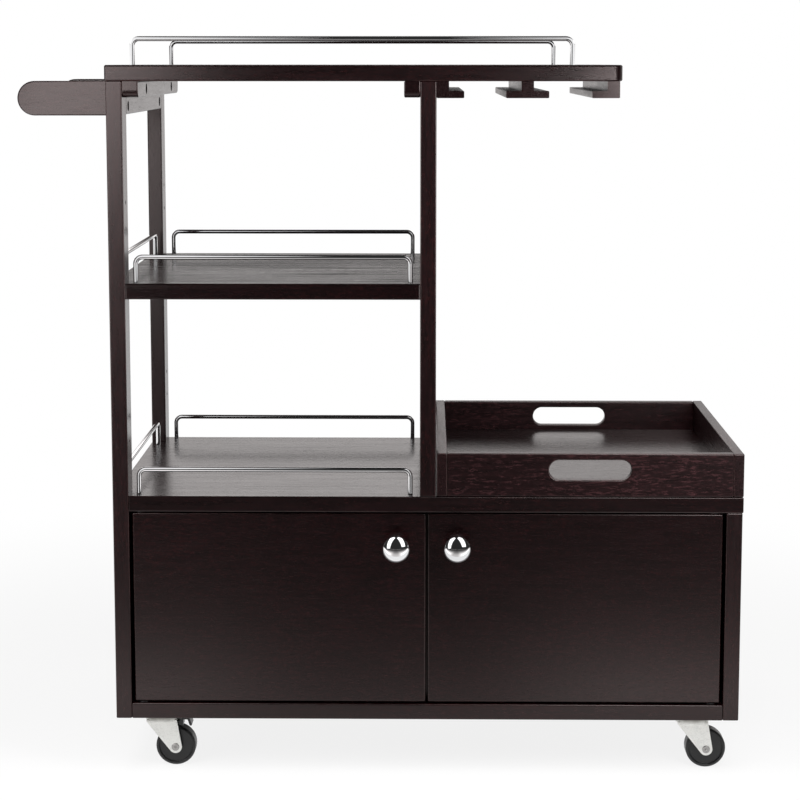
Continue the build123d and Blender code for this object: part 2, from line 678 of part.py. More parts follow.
def brake_lever(x, y):
    """A lever with a cross pin in the fork, a shoe above the tread and a foot tab bent down."""
    pivot_x, pivot_z = x + LEVER_PIVOT[0], LEVER_PIVOT[1]
    neck_z = pivot_z + LEVER_BOSS_R
    crest_under = LEVER_TOP_Z - LEVER_TAB
    crest_start, crest_end = x + LEVER_CREST_X[0], x + LEVER_CREST_X[1]
    tip_x, tip_z = x + LEVER_TIP[0], LEVER_TIP[1]
    shoe_x = x + LEVER_SHOE_END_X
    bar = make_face(Polyline(
        (pivot_x, AXLE_Z), (shoe_x, AXLE_Z), (shoe_x + LEVER_TAB / 2, crest_under),
        (crest_end - LEVER_TAB / 2, crest_under), (tip_x - LEVER_TAB, tip_z), (tip_x, tip_z),
        (crest_end, LEVER_TOP_Z), (crest_start, LEVER_TOP_Z), (x + LEVER_STEP_X, neck_z),
        (pivot_x, neck_z), close=True,
    ))
    bar -= Pos(x + TRAIL, AXLE_Z) * Circle(WHEEL_R + SHOE_GAP)
    upper = bar.vertices().filter_by(lambda corner: corner.Y > crest_under - FIT or corner.X > crest_end)
    outline = fillet(upper, LEVER_ROUND) + Pos(pivot_x, pivot_z) * Circle(LEVER_BOSS_R)
    lever = prism(outline, y - LEVER_WIDTH / 2, y + LEVER_WIDTH / 2)
    return lever + cross_rod(pivot_x, y, pivot_z, LEVER_PIN_REACH, LEVER_PIN_R)


def casters():
    """Plates, kingpins and screws under the cabinet, and the moving parts of each caster."""
    fixed = {"caster_plates": [], "caster_kingpins": [], "caster_screws": []}
    moving, pilot_holes = {}, []
    for side, x in (("left", CASTER_INSET_X), ("right", FRAME_WIDTH - CASTER_INSET_X)):
        for end, y in (("front", CASTER_INSET_Y), ("rear", DEPTH - CASTER_INSET_Y)):
            plate, kingpin, screws, holes = caster_plate(x, y)
            fixed["caster_plates"].append(plate)
            fixed["caster_kingpins"].append(kingpin)
            fixed["caster_screws"] += screws
            pilot_holes += holes
            place = end + "_" + side
            braked = side == "left"
            moving["caster_fork_" + place] = [fork(x, y, braked)]
            moving["caster_axle_" + place] = [axle(x, y)]
            moving["caster_wheel_" + place] = [wheel(x, y)]
            if braked:
                moving["brake_lever_" + place] = [brake_lever(x, y)]
    return {**fixed, **moving}, pilot_holes


def build():
    """Every node of the cart as a list of its solids, with the holes drilled."""
    holes = []
    hardware = {}
    for name, pairs in (
        ("frame_bolts", frame_bolts()),
        ("dowel_pins", dowel_pins()),
        ("top_screws", top_screws()),
    ):
        hardware[name] = [solid for solid, _ in pairs]
        holes += [hole for _, hole in pairs]
    top_runs = [((RAIL_LEFT, y), (TOP_RAIL_RIGHT, y)) for y in (RAIL_INSET, DEPTH - RAIL_INSET)]
    for name, rails in (
        ("top_rails", [guard_rail(start, end, TOP_Z) for start, end in top_runs]),
        ("middle_shelf_rails", shelf_rails(MIDDLE_SHELF_Z)),
        ("lower_shelf_rails", shelf_rails(CABINET_TOP_Z)),
    ):
        hardware[name] = [wire for wire, _ in rails]
        for _, sockets in rails:
            holes += sockets

    half_gap = DOOR_MIDDLE_GAP / 2
    fittings = (
        door_fittings("left", BOARD + DOOR_SIDE_GAP, DOOR_MIDDLE_X - half_gap),
        door_fittings("right", RIGHT_PANEL_X - DOOR_SIDE_GAP, DOOR_MIDDLE_X + half_gap),
    )
    hardware["hinge_bushes"] = []
    hardware["magnetic_catches"] = []
    for pieces, bushes, bush_holes, catch in fittings:
        hardware.update(pieces)
        hardware["hinge_bushes"] += bushes
        hardware["magnetic_catches"].append(catch)
        holes += bush_holes
    caster_pieces, pilot_holes = casters()
    hardware.update(caster_pieces)
    holes += pilot_holes

    rail_y = (POST_DEPTH, REAR_POST_Y)
    rail_z = (CROSS_RAIL_UNDER, TOP_UNDER)
    wood = {
        "top_board": top_board(),
        **posts(),
        "left_cross_rail": board((0, BOARD), rail_y, rail_z),
        "center_cross_rail": board((CENTER_X, CENTER_RIGHT), rail_y, rail_z),
        "left_top_cleat": cleat(BOARD),
        "center_top_cleat": cleat(CENTER_X - CLEAT),
        **handle(),
        "middle_shelf": middle_shelf(),
        "cabinet_top": cabinet_top(),
        **cabinet(),
        **glass_racks(),
    }
    nodes = {name: [cut(piece, holes)] for name, piece in wood.items()}
    nodes.update({name: [piece] for name, piece in tray().items()})
    nodes.update(hardware)
    return nodes


os.makedirs("parts", exist_ok=True)
to_origin = Pos(-X_MIDDLE, -Y_MIDDLE, 0)
for node, solids in build().items():
    placed = [to_origin * solid for solid in solids]
    shape = placed[0] if len(placed) == 1 else Compound(placed)
    export_step(shape, os.path.join("parts", node + ".step"))
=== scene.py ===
"""Looks of a wooden bar cart on casters, laid out as an add-on around its fixed frame."""
import json
import math

import bmesh
import bpy
from bpy.props import FloatProperty, FloatVectorProperty, PointerProperty
from bpy.types import Operator, Panel, PropertyGroup
from mathutils import Matrix, Vector


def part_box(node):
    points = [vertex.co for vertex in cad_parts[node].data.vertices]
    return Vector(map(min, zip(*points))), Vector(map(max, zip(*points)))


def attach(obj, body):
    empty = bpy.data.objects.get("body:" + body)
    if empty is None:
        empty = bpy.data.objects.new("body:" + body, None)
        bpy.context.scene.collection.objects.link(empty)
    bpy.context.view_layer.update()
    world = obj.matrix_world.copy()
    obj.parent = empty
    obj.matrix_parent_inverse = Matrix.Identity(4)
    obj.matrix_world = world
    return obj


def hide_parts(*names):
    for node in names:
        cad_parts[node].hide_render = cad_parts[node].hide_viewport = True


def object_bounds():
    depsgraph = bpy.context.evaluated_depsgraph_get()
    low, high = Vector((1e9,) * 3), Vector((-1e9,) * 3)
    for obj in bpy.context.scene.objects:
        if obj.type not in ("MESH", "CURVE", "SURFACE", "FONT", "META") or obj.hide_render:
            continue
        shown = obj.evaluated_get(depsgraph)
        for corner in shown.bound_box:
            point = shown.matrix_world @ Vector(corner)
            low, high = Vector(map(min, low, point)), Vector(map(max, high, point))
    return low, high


bl_info = {
    "name": "Bar Cart Finish",
    "version": (1, 0, 0),
    "blender": (4, 5, 0),
    "location": "3D View > Sidebar > Bar Cart",
    "description": "Finishes the frame of a wooden bar cart and sets it in a studio",
    "category": "Object",
}

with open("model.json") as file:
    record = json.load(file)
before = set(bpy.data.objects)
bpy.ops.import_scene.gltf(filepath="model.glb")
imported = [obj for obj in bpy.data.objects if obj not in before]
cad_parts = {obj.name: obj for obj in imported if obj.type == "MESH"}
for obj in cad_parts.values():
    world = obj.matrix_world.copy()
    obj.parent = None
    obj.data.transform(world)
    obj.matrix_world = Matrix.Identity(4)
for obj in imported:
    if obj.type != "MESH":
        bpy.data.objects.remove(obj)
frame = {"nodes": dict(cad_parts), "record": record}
CAD_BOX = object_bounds()
NODES = frame["nodes"]
BODIES = frame["record"]["behaviour"]["bodies"]
NODE_BODY = {node: body for body, nodes in BODIES.items() for node in nodes}

MIDDLE = (Vector(CAD_BOX[0]) + Vector(CAD_BOX[1])) / 2

# Boards by the axis that their grain runs along and the axis across their flat faces.
FRAME_BOARDS = {
    ("X", "Z"): ("top_board", "cabinet_top", "cabinet_bottom"),
    ("Z", "X"): (
        "left_front_post", "left_rear_post", "center_front_post", "center_rear_post",
        "left_side_panel", "right_side_panel", "center_partition",
    ),
    ("Y", "X"): ("left_cross_rail", "center_cross_rail", "left_top_cleat", "center_top_cleat"),
    ("X", "Y"): ("handle_arm_front", "handle_arm_rear", "left_door", "right_door", "back_panel"),
    ("Y", "Z"): ("glass_rack_left", "glass_rack_center", "glass_rack_right", "handle_grip"),
}
TRAY_BOARDS = {
    ("X", "Z"): ("tray_base",),
    ("Y", "X"): ("tray_left_wall", "tray_right_wall"),
    ("X", "Y"): ("tray_front_wall", "tray_rear_wall"),
}
FLAT_BOARDS = ("cabinet_top", "tray_base", "middle_shelf", "top_board")
RAILS = ("top_rails", "middle_shelf_rails", "lower_shelf_rails")
CASTERS = ("front_left", "rear_left", "front_right", "rear_right")
BRAKED = ("front_left", "rear_left")
DOORS = ("left", "right")
WIRES = [rail + "_wire" for rail in RAILS]
KNOBS = [side + "_knob_turned" for side in DOORS]
PLATED = (
    "frame_bolts", "top_screws", "caster_plates", "caster_screws", "caster_kingpins",
    "left_hinge_pins", "right_hinge_pins", "left_strike_plate", "right_strike_plate",
)
MOULDED = ("magnetic_catches", "hinge_bushes")

# Steps round a turned piece, round a wire and along an arc, and the angle of a sharp edge.
TURNED_STEPS = 96
WIRE_STEPS = 28
ARC_STEPS = 10
SHARP_ANGLE = math.radians(35)

# Height of the head of a knob's screw, and the small rounds of that head and of the knob.
SCREW_HEAD_HEIGHT = 0.0022
SCREW_HEAD_ROUND = 0.0012
KNOB_ROUND = 0.0008

# White, an even scale along each axis, and how far a pattern shifts from piece to piece.
WHITE = (1.0, 1.0, 1.0, 1.0)
EVEN = (1, 1, 1)
PIECE_SHIFT = 37.0

# Wood: where each mark of the grain starts and is full, how strongly it colours the stain, and
# how much rougher or smoother it leaves the lacquer.
STREAK_SPAN = (0.36, 0.62)
PORE_SPAN = (0.54, 0.72)
FLECK_SPAN = (0.52, 0.68)
FACE_SPAN = (0.70, 0.95)
THIN_SPAN = (0.50, 0.95)
# The lighter edge rounds are thinned stain and a painted highlight together.
RUBBED_HIGHLIGHT_SPAN = (0.10, 0.90)
CLOUD_SCALE = 5.0
CLOUD_IN_FLECKS = 0.3
CLOUD_IN_WEAR_AND_HIGHLIGHT = 0.5
FLECK_SHOW = 0.75
PORE_SHOW = 0.60
END_GRAIN_SHOW = 0.60
RUBBED_HIGHLIGHT_SHOW = 0.50
PORE_MATTE = 0.08
STREAK_MATTE = 0.13
FLECK_POLISH = 0.02
FLECK_RISE = 0.5
LACQUER_IOR = 1.48

# Chrome: share of the fine marks in the wiping, its roughness, and the tone of its haze.
WIPE_MARKS = 0.6
WIPE_MATTE = 0.05
CHROME_HAZE = 0.90

# Zinc: size of the crystals, share of the clouds in the mottle, and how each shows.
CRYSTAL_SCALE = 900.0
MOTTLE_CLOUD = 0.7
MOTTLE_TONE = 0.88
CRYSTAL_MATTE = 0.06
CLOUD_MATTE = 0.12
# A fork darkens towards its top with greasy dirt and painted shade from the cabinet above.
GREASE_SHADE_WAVER = 0.12
GREASE_SHADE_SHOW = 0.9
ZINC_METALLIC = 0.85
ZINC_DEPTH = 0.000006

# Plastic and beech: amounts of dust, changes of roughness and depths of the surface.
PLASTIC_DUST = 0.25
PLASTIC_MATTE = 0.25
TREAD_CLOUD = 0.15
TREAD_DUST = 0.7
TREAD_MATTE = 0.15
PLASTIC_DEPTH = 0.00002
BEECH_PLACE = (4, 1, 1)
BEECH_TONE = 0.6
BEECH_ROUGHNESS = 0.6
BEECH_MATTE = 0.2
BEECH_DEPTH = 0.00005

# Brightness of the backdrop that the gloss shows, by the sine of the height above the horizon,
# and where it comes up between the sides and the back.
BACKDROP = (
    (0.0, 1.0), (0.04, 0.44), (0.08, 0.12), (0.13, 0.14), (0.17, 0.55), (0.19, 0.90), (0.22, 2.2),
    (0.40, 1.10), (0.55, 0.10),
)
BACKDROP_SPAN = (-0.05, 0.30)

# Brightness of the studio floor that the gloss shows, from far in front of the cart to the paper,
# and the distances of those two ends.
FLOOR = (
    (0.0, 0.03), (0.35, 0.11), (0.58, 0.14), (0.71, 0.18), (0.84, 0.36), (0.97, 0.66), (1.0, 0.72),
)
FLOOR_FAR = 2.2
FLOOR_NEAR = 0.47
# Distances from the middle over which the flanks brighten and the veil fills up, and the width of
# the paper's soft edge.
FLANK_SPAN = (0.08, 0.38)
VEIL_SPAN = (0.5, 1.5)
PAPER_EDGE = 0.02

# Strip banks: the foot, the top and the width of each, and the heights that split them in parts.
BANK_FOOT = {"left": (-0.655, -0.915, 0.315), "right": (0.555, -0.840, 0.475)}
BANK_TOP = {"left": (-0.140, -0.527, 1.152), "right": (0.140, -0.527, 1.152)}
BANK_WIDTH = {"left": (-0.21, 0.30, -0.06), "right": (0.21, 0.30, -0.06)}
BANK_SPLITS = (0.68, 0.96)
# Wooden pieces that a whole bank is kept off, and those that each part is, from the lowest up.
BANK_OFF = {
    "left": ("cabinet_top", "tray_base", "right_door", "tray_front_wall"),
    "right": ("cabinet_top", "tray_base", "top_board"),
}
BANK_PART_OFF = {
    "left": (
        ("left_top_cleat", "center_top_cleat"), ("middle_shelf",), ("middle_shelf", "top_board"),
    ),
    "right": (
        ("left_top_cleat", "center_top_cleat", "left_door"), ("middle_shelf",), ("middle_shelf",),
    ),
}
# The banks are wider and start lower in the wires, and reach higher in the knobs.
WIRE_BANK_SPAN = (-0.45, 1.8)
WIRE_BANK_FOOT = 0.06
KNOB_BANK_REACH = 1.17
# The end of the top board shows a narrow slice of the right bank, up to a height.
TOP_BANK_SHARE = 0.3
TOP_BANK_HEIGHT = 0.885
# A corner and two sides of each of the other lights.
FILLS = {
    "top_fill": ((-1.0, -0.6, 2.3), (2.0, 0, 0), (0, 1.2, 0)),
    "edge_fill": ((-1.0, -2.2, 0.1), (2.0, 0, 0), (0, 0, 1.2)),
    "top_sheen": ((-1.0, -0.4, 2.3), (2.0, 0, 0), (0, 2.0, 0)),
    "arris_bank": ((0.30, -1.5, 1.35), (0.9, 0, 0), (0, 0.55, 0.65)),
}

# Camera: the width of its frame in millimetres, and the end of its view.
SENSOR_WIDTH = 36.0
VIEW_END = 50.0


def size(label, about, default):
    """A length that the user can change."""
    return FloatProperty(name=label, description=about, default=default, unit="LENGTH", precision=4)


def share(label, about, default):
    """A number from 0 to 1 that the user can change."""
    return FloatProperty(
        name=label, description=about, default=default, min=0, max=1, subtype="FACTOR"
    )


def number(label, about, default):
    """A plain number that the user can change."""
    return FloatProperty(name=label, description=about, default=default)


def color(label, about, default):
    """A colour that the user can change."""
    return FloatVectorProperty(
        name=label, description=about, default=default, size=3, min=0, max=1, subtype="COLOR"
    )


class WoodSettings(PropertyGroup):
    """Espresso stain under a satin lacquer."""

    stain: color("Stain", "Colour of the stained wood", (0.0058, 0.0012, 0.0016))
    dark: color("Dark grain", "Colour in the dense grain", (0.0033, 0.0009, 0.0011))
    warm: color("Warm fleck", "Reddish brown of the ray flecks", (0.0165, 0.0034, 0.0038))
    # Lighter colour of the edge rounds: thinned stain, and a painted highlight.
    worn_and_highlit: color("Worn edge", "Colour where the stain is rubbed thin", (0.0300, 0.0130, 0.0120))
    gloss: color("Gloss", "Tone of the shine straight on", (1.0, 0.86, 0.85))
    streak: size("Streak width", "Width of a streak of grain", 0.0042)
    stretch: number("Stretch", "Length of a streak as a multiple of its width", 14.0)
    fleck: size("Fleck width", "Width of a ray fleck", 0.0013)
    fleck_stretch: number("Fleck stretch", "Length of a ray fleck as a multiple of its width", 5.0)
    pore: size("Pore width", "Width of an open pore", 0.0008)
    pore_depth: size("Pore depth", "How deep the pores show through the lacquer", 0.000005)
    roughness: share("Roughness", "Roughness of the lacquer on the edges", 0.30)
    sanding: share("Sanding", "How much smoother the flat faces and the ends are", 0.06)
    band: size("Band width", "Width of a broad band of grain on a flat board", 0.0170)
    band_matte: share("Band matte", "How much the gloss of a flat board varies by its bands", 0.14)
    shelf_band_matte: share(
        "Shelf band matte", "How much the gloss of the middle shelf varies by its bands", 0.42
    )
    shelf_polish: share("Shelf polish", "How much smoother the middle shelf is", 0.07)
    # The solid tray's flecks: their own reddish tone, lightened further as a painted glint.
    tray_fleck_glint: color("Tray fleck", "Colour of the flecks of the solid tray", (0.046, 0.017, 0.019))
    tray_fleck: size("Tray fleck width", "Width of a fleck of the solid tray", 0.0016)
    tray_lift: number("Tray lift", "How much lighter the stain of the solid tray is", 1.5)
    tray_matte: share("Tray matte", "How much rougher the lacquer of the tray is", 0.05)


class MetalSettings(PropertyGroup):
    """Chrome of the rails and knobs, zinc of the casters and hardware, and steel of the rivets."""

    chrome: color("Chrome", "Colour of the polished chrome", (0.80, 0.80, 0.81))
    chrome_roughness: share("Chrome roughness", "Roughness of the chrome", 0.045)
    zinc: color("Zinc", "Colour of the zinc plate", (0.84, 0.84, 0.81))
    zinc_roughness: share("Zinc roughness", "Roughness of the zinc plate", 0.38)
    steel: color("Steel", "Colour of the bare steel rivets", (0.40, 0.39, 0.38))
    # Darker colour at a fork's top: greasy dirt, and painted shade under the cabinet.
    grease_and_shade: color("Grease", "Colour of the grease where a fork turns", (0.09, 0.08, 0.06))


class PlasticSettings(PropertyGroup):
    """Moulded plastic of the wheels, levers, catches and bushes, and the beech of the dowels."""

    black: color("Black", "Colour of the black plastic", (0.0055, 0.0055, 0.0058))
    dust: color("Dust", "Colour of the dust on the treads", (0.020, 0.019, 0.018))
    black_roughness: share("Black roughness", "Roughness of the black plastic", 0.36)
    beech: color("Beech", "Colour of the bare dowels", (0.50, 0.34, 0.20))


class RailSettings(PropertyGroup):
    """Bent wire of the guard rails."""

    wire: size("Wire", "Radius of the wire", 0.0030)
    bend: size("Bend", "Radius of a bend, along the middle of the wire", 0.0080)
    front_gap: size("Front gap", "From a side wire to the end of a front wire", 0.0195)
    side_gap: size("Side gap", "From a front wire to the end of a side wire", 0.0490)


class KnobSettings(PropertyGroup):
    """Domed knobs of the doors, each with the screw that holds it."""

    dome: size("Dome", "Height of the dome above the rim", 0.0074)
    rim: size("Rim", "Thickness of the rim", 0.0022)
    neck: size("Neck", "Radius of the neck", 0.0050)
    base: size("Base", "Radius of the disc on the door", 0.0075)
    base_height: size("Base height", "Thickness of the disc on the door", 0.0020)
    screw: size("Screw", "Radius of the screw", 0.0020)
    screw_head: size("Screw head", "Radius of the screw's head behind the door", 0.0042)


class StageSettings(PropertyGroup):
    """Camera, floor and lights of the studio."""

    camera: FloatVectorProperty(
        name="Camera", description="Place of the camera", default=(0.0566, -2.6382, 0.8802), size=3,
        subtype="TRANSLATION", unit="LENGTH",
    )
    pitch: FloatProperty(
        name="Pitch", description="How far the camera looks down", default=math.radians(7.192),
        subtype="ANGLE",
    )
    yaw: FloatProperty(
        name="Yaw", description="How far the camera looks to the left", default=math.radians(0.775),
        subtype="ANGLE",
    )
    lens: number("Lens", "Focal length for a 36 mm frame", 91.80)
    shift: number("Shift", "Lens shift down, as a share of the frame", -0.10)
    floor: size("Floor", "Half the width of the floor", 8.0)
    floor_color: color("Floor colour", "Colour of the pale floor", (0.90, 0.90, 0.90))
    paper: size("Paper", "How far the white paper reaches in front of the cart's middle", 0.405)
    backdrop: color("Backdrop", "Tone of the backdrop and the studio floor", (1.0, 0.965, 0.955))
    flank: number("Flank", "How much brighter the studio floor is at the sides", 1.6)
    studio: color("Studio", "Colour of the dim studio in front of the cart", (0.028, 0.028, 0.028))
    veil: share("Veil", "How much of the floor near the cart shows as plain white", 0.85)
    left_bank: number("Left bank", "Brightness of the strip bank at the left", 5.0)
    right_bank: number("Right bank", "Brightness of the strip bank at the right", 8.2)
    top_bank: number("Top bank", "Brightness of the right bank in the end of the top board", 30.0)
    knob_bank: number("Knob bank", "Brightness of the banks in the knobs", 1.8)
    wire_bank: number("Wire bank", "Brightness of the banks in the wires", 1.0)
    fill: number("Fill", "Brightness of the light above the cart", 2.4)
    edge_fill: number("Edge fill", "Brightness of the light on the flat boards' front edges", 2.8)
    sheen: number("Sheen", "Brightness of the light that the flat boards show from above", 0.8)
    arris: number("Arris", "Brightness of the light along the cabinet top's front arris", 9.0)


class CartSettings(PropertyGroup):
    """Every setting of the cart."""

    wood: PointerProperty(type=WoodSettings)
    metal: PointerProperty(type=MetalSettings)
    plastic: PointerProperty(type=PlasticSettings)
    rail: PointerProperty(type=RailSettings)
    knob: PointerProperty(type=KnobSettings)
    stage: PointerProperty(type=StageSettings)


class Signal:
    """A node's output. Arithmetic on it adds Math nodes."""

    def __init__(self, tree, socket):
        self.tree = tree
        self.socket = socket

    def math(self, operation, first, second):
        """The result of one Math node."""
        return self.tree.node("ShaderNodeMath", {"operation": operation}, {0: first, 1: second})

    def __add__(self, other):
        return self.math("ADD", self, other)

    def __radd__(self, other):
        return self.math("ADD", other, self)

    def __sub__(self, other):
        return self.math("SUBTRACT", self, other)

    def __rsub__(self, other):
        return self.math("SUBTRACT", other, self)

    def __mul__(self, other):
        return self.math("MULTIPLY", self, other)

    def __rmul__(self, other):
        return self.math("MULTIPLY", other, self)

    def __pow__(self, other):
        return self.math("POWER", self, other)

    def __abs__(self):
        return self.tree.node("ShaderNodeMath", {"operation": "ABSOLUTE"}, {0: self})


def fill_ramp(ramp, stops):
    """Gives a colour ramp its (place, grey level) stops."""
    for at, _ in stops[2:]:
        ramp.elements.new(at)
    for element, (at, level) in zip(ramp.elements, stops):
        element.position = at
        element.color = (level, level, level, 1.0)


class NodeTree:
    """A node tree that is filled from its outputs' expressions."""

    def __init__(self, owner):
        owner.use_nodes = True
        self.nodes = owner.node_tree.nodes
        self.links = owner.node_tree.links
        self.nodes.clear()

    def node(self, kind, settings=None, inputs=None, output=0):
        """Adds a node: its settings first, then the values or links of its sockets."""
        made = self.nodes.new(kind)
        for name, value in (settings or {}).items():
            if name == "stops":
                fill_ramp(made.color_ramp, value)
            else:
                setattr(made, name, value)
        for name, value in (inputs or {}).items():
            if isinstance(value, Signal):
                self.links.new(value.socket, made.inputs[name])
            else:
                made.inputs[name].default_value = value
        return Signal(self, made.outputs[output])

    def close(self, kind, shader):
        """Links the last shader to the tree's output node."""
        out = self.nodes.new(kind)
        self.links.new(shader.socket, out.inputs["Surface"])

    def ramp(self, value, low, high):
        """Runs smoothly from 0 at low to 1 at high."""
        return self.node(
            "ShaderNodeMapRange", {"interpolation_type": "SMOOTHSTEP"},
            {"Value": value, "From Min": low, "From Max": high},
        )

    def mix(self, amount, first, second, blend="MIX"):
        """Mixes two colours."""
        inputs = {"Factor": amount, 6: first, 7: second}
        settings = {"data_type": "RGBA", "clamp_factor": True, "blend_type": blend}
        return self.node("ShaderNodeMix", settings, inputs, 2)

    def noise(self, place, scale, detail=3.0, roughness=0.55, distortion=0.0):
        """Fractal noise around 0.5."""
        inputs = {
            "Vector": place, "Scale": scale, "Detail": detail, "Roughness": roughness,
            "Distortion": distortion,
        }
        return self.node("ShaderNodeTexNoise", None, inputs, "Fac")

    def axis(self, kind, name):
        """One axis of a kind of coordinate."""
        at = self.node("ShaderNodeTexCoord", None, None, kind)
        return self.node("ShaderNodeSeparateXYZ", None, {"Vector": at}, name)

    def place(self, scale):
        """Place on the piece, scaled along each axis and shifted for each piece."""
        own = self.node("ShaderNodeObjectInfo", None, None, "Random")
        at = self.node("ShaderNodeTexCoord", None, None, "Object")
        scaled = self.node("ShaderNodeVectorMath", {"operation": "MULTIPLY"}, {0: at, 1: scale})
        shift = {0: scaled, 1: own * PIECE_SHIFT}
        return self.node("ShaderNodeVectorMath", {"operation": "ADD"}, shift)


def paint(name, principled):
    """A material whose principled shader takes the inputs that a function of its tree gives."""
    material = bpy.data.materials.new(name)
    tree = NodeTree(material)
    inputs, height, depth = principled(tree)
    if height is not None:
        inputs["Normal"] = tree.node(
            "ShaderNodeBump", None, {"Strength": 1.0, "Distance": depth, "Height": height}
        )
    tree.close("ShaderNodeOutputMaterial", tree.node("ShaderNodeBsdfPrincipled", None, inputs))
    return material


def opaque(values, lift=1.0):
    """A colour, made lighter or darker, with full alpha as sockets take it."""
    return (*(lift * value for value in values), 1.0)


def espresso(name, wood, grain, flat, warm, fleck, lift=1.0, matte=0.0, band_matte=0.0):
    """Stained wood with its grain along one axis, lighter along the edges of its flat faces:
    thinned stain and a painted highlight.
    """
    def shader(tree):
        along = tree.place([wood.stretch if axis != grain else 1.0 for axis in "XYZ"])
        short = tree.place([wood.fleck_stretch if axis != grain else 1.0 for axis in "XYZ"])
        streaks = tree.noise(
            along, 1 / (wood.streak * wood.stretch), detail=4.0, roughness=0.6, distortion=0.4
        )
        holes = tree.noise(along, 1 / (wood.pore * wood.stretch), detail=2.0, roughness=0.5)
        rays = tree.noise(
            short, 1 / (fleck * wood.fleck_stretch), detail=2.0, roughness=0.6, distortion=0.3
        )
        cloud = tree.noise(tree.place(EVEN), CLOUD_SCALE, detail=2.0)
        pores = tree.ramp(holes, *PORE_SPAN)
        flecks = tree.ramp(rays + (cloud - 0.5) * CLOUD_IN_FLECKS, *FLECK_SPAN)
        tilt = tree.axis("Normal", flat) ** 2
        flat_face = tree.ramp(tilt, *FACE_SPAN)
        end_grain = tree.ramp(tree.axis("Normal", grain) ** 2, *FACE_SPAN)
        thin = tree.ramp(streaks + cloud * CLOUD_IN_WEAR_AND_HIGHLIGHT, *THIN_SPAN)
        # 1 halfway round an edge and 0 on the faces beside it.
        edge = tilt * (1 - tilt) * 4.0
        # Lighter edge rounds in patches: thinned stain, and a painted highlight along the rounds.
        rubbed_and_highlit = tree.ramp(edge * thin, *RUBBED_HIGHLIGHT_SPAN)

        dark, stain = opaque(wood.dark, lift), opaque(wood.stain, lift)
        base = tree.mix(tree.ramp(streaks, *STREAK_SPAN), dark, stain)
        # Flecks take their own colour; for the tray that colour also holds a painted glint.
        base = tree.mix(flecks * FLECK_SHOW, base, opaque(warm))
        base = tree.mix(pores * PORE_SHOW, base, dark)
        base = tree.mix(end_grain * END_GRAIN_SHOW, base, dark)
        base = tree.mix(rubbed_and_highlit * RUBBED_HIGHLIGHT_SHOW, base, opaque(wood.worn_and_highlit))
        rough = wood.roughness + matte - (flat_face + end_grain) * wood.sanding
        rough = rough + pores * PORE_MATTE + (streaks - 0.5) * STREAK_MATTE - flecks * FLECK_POLISH
        if band_matte > 0:
            bands = tree.noise(
                along, 1 / (wood.band * wood.stretch), roughness=0.6, distortion=0.4
            )
            rough = rough + (bands - 0.5) * band_matte
        inputs = {
            "Base Color": base, "Roughness": rough, "IOR": LACQUER_IOR,
            "Specular Tint": opaque(wood.gloss),
        }
        return inputs, flecks * FLECK_RISE - pores, wood.pore_depth
    return paint(name, shader)


def polished_chrome(metal):
    """Bright chrome with faint wipe marks."""
    def shader(tree):
        at = tree.place(EVEN)
        marks = tree.noise(at, scale=55.0, detail=4.0, roughness=0.65)
        haze = tree.noise(at, scale=9.0, detail=2.0)
        wiped = tree.ramp(marks * WIPE_MARKS + haze * (1 - WIPE_MARKS), low=0.50, high=0.75)
        hazy = tree.ramp(haze, low=0.45, high=0.75)
        base = tree.mix(hazy, opaque(metal.chrome), opaque(metal.chrome, CHROME_HAZE))
        rough = metal.chrome_roughness + wiped * WIPE_MATTE
        return {"Base Color": base, "Metallic": 1.0, "Roughness": rough}, None, None
    return paint("polished_chrome", shader)


def plated(name, tone, roughness, grease_and_shade=None):
    """Satin plate with a soft crystalline mottle, and greasy dirt with painted shade near the top.
    """
    def shader(tree):
        at = tree.place(EVEN)
        cells = {"Vector": at, "Scale": CRYSTAL_SCALE}
        crystals = tree.node("ShaderNodeTexVoronoi", {"feature": "F1"}, cells, "Color")
        crystal = tree.node("ShaderNodeSeparateColor", None, {"Color": crystals}, "Red")
        cloud = tree.noise(at, scale=70.0)
        mottle = cloud * MOTTLE_CLOUD + crystal * (1 - MOTTLE_CLOUD)
        dull = tree.ramp(mottle, low=0.40, high=0.75)
        base = tree.mix(dull, opaque(tone), opaque(tone, MOTTLE_TONE))
        rough = roughness + crystal * CRYSTAL_MATTE + (cloud - 0.5) * CLOUD_MATTE
        # Towards the top the plate darkens: greasy dirt, and painted shade under the cabinet.
        if grease_and_shade is not None:
            height = tree.axis("Generated", "Z") + (cloud - 0.5) * GREASE_SHADE_WAVER
            grease_shade = tree.ramp(height, low=0.80, high=0.99)
            base = tree.mix(grease_shade * GREASE_SHADE_SHOW, base, opaque(grease_and_shade))
        inputs = {"Base Color": base, "Metallic": ZINC_METALLIC, "Roughness": rough}
        return inputs, cloud, ZINC_DEPTH
    return paint(name, shader)


def black_plastic(plastic):
    """Moulded black plastic with a fine texture."""
    def shader(tree):
        at = tree.place(EVEN)
        texture = tree.noise(at, scale=1600.0, detail=2.0)
        cloud = tree.noise(at, scale=60.0)
        dusty = tree.ramp(cloud, low=0.5, high=0.8) * PLASTIC_DUST
        base = tree.mix(dusty, opaque(plastic.black), opaque(plastic.dust))
        rough = plastic.black_roughness + (cloud - 0.5) * PLASTIC_MATTE
        return {"Base Color": base, "Roughness": rough}, texture, PLASTIC_DEPTH
    return paint("black_plastic", shader)


